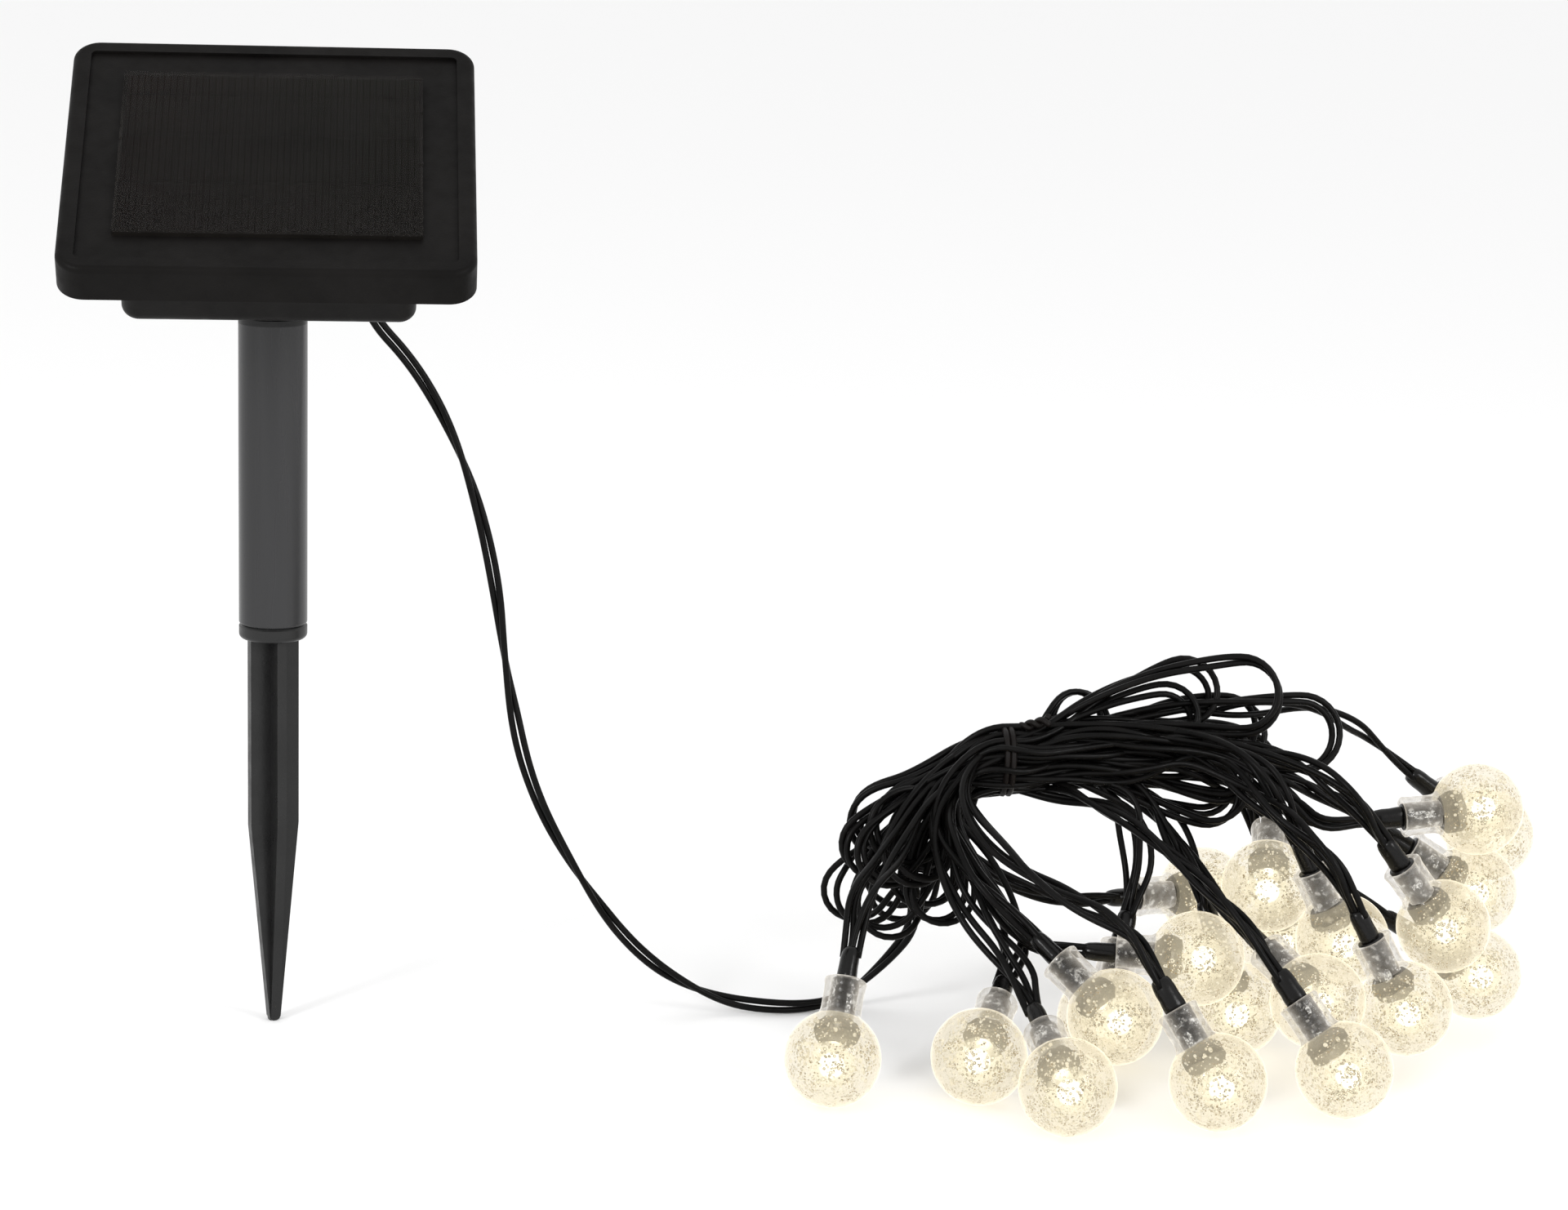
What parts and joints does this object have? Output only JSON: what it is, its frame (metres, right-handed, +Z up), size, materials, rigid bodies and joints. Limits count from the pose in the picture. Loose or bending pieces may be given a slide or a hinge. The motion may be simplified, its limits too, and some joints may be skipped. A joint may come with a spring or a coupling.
{
  "type": "solar string lights",
  "caption": "Tilting solar panel head on a ground stake, with a cord to a tied hank of clear bubble-globe string lights.",
  "frame": {"origin": "tip of the ground spike, on the axis of the stake", "axes": "+Z up along the stake, -Y towards the front edge of the panel, +X to the right, where the string lies"},
  "size_m": [0.4035, 0.14, 0.2597],
  "materials": {
    "spike_plastic": "satin moulded",
    "tube_plastic": "satin extruded",
    "bracket_plastic": "satin moulded",
    "steel": "zinc plated",
    "knob_plastic": "fluted",
    "frame_plastic": "fine texture",
    "seal_rubber": "soft",
    "board": "dark laminate",
    "laminate": "clear resin",
    "case_plastic": "fine texture",
    "battery_wrap": "shrink wrapped",
    "contact_metal": "nickel plated",
    "circuit": "green solder mask",
    "switch_plastic": "moulded",
    "button_rubber": "soft",
    "gland_rubber": "moulded",
    "holder_plastic": "moulded",
    "sleeve": "glossy shrink sleeve",
    "cord_pvc": "satin",
    "tie_pvc": "satin",
    "solar_cell": "dark amorphous cell",
    "clear_acrylic": "clear with fine bubbles",
    "led": "lit warm white"
  },
  "bodies": {
    "stake": {"ground_spike": "spike_plastic", "stake_tube": "tube_plastic", "hinge_bracket": "bracket_plastic", "lead_flex": "cord_pvc", "lead_cord": "cord_pvc", "wire_hank": "cord_pvc", "hank_tie": "tie_pvc", "bulb_sleeves": "sleeve", "lamp_holders": "holder_plastic", "led_lamps": "led", "globe_01": "clear_acrylic", "globe_02": "clear_acrylic", "globe_03": "clear_acrylic", "globe_04": "clear_acrylic", "globe_05": "clear_acrylic", "globe_06": "clear_acrylic", "globe_07": "clear_acrylic", "globe_08": "clear_acrylic", "globe_09": "clear_acrylic", "globe_10": "clear_acrylic", "globe_11": "clear_acrylic", "globe_12": "clear_acrylic", "globe_13": "clear_acrylic", "globe_14": "clear_acrylic", "globe_15": "clear_acrylic", "globe_16": "clear_acrylic", "globe_17": "clear_acrylic", "globe_18": "clear_acrylic", "globe_19": "clear_acrylic", "globe_20": "clear_acrylic"},
    "panel_head": {"back_plate": "case_plastic", "battery": "battery_wrap", "battery_contact": "contact_metal", "battery_door": "case_plastic", "battery_spring": "contact_metal", "cable_gland": "gland_rubber", "case_gasket": "seal_rubber", "case_screws": "steel", "cell_laminate": "laminate", "cell_strip_1": "solar_cell", "cell_strip_2": "solar_cell", "cell_strip_3": "solar_cell", "cell_strip_4": "solar_cell", "circuit_board": "circuit", "door_screws": "steel", "door_seal": "seal_rubber", "hinge_bolt": "steel", "hinge_ears": "case_plastic", "hinge_nut": "knob_plastic", "hinge_washers": "steel", "panel_frame": "frame_plastic", "rear_case": "case_plastic", "solar_board": "board", "tact_switches": "switch_plastic"},
    "power_button": {"power_button": "button_rubber"},
    "mode_button": {"mode_button": "button_rubber"}
  },
  "joints": [
    {"name": "panel_tilt", "type": "hinge", "parent": "stake", "child": "panel_head", "pos_m": [0, 0, 0.2], "axis": [1, 0, 0], "range_deg": [-33, 42], "deforming": ["lead_flex"]},
    {"name": "power_button_press", "type": "slide", "parent": "panel_head", "child": "power_button", "axis": [0, -0.5446, 0.8387], "range_m": [0, 0.001], "stiffness_N_per_m": 1500},
    {"name": "mode_button_press", "type": "slide", "parent": "panel_head", "child": "mode_button", "axis": [0, -0.5446, 0.8387], "range_m": [0, 0.001], "stiffness_N_per_m": 1500}
  ]
}
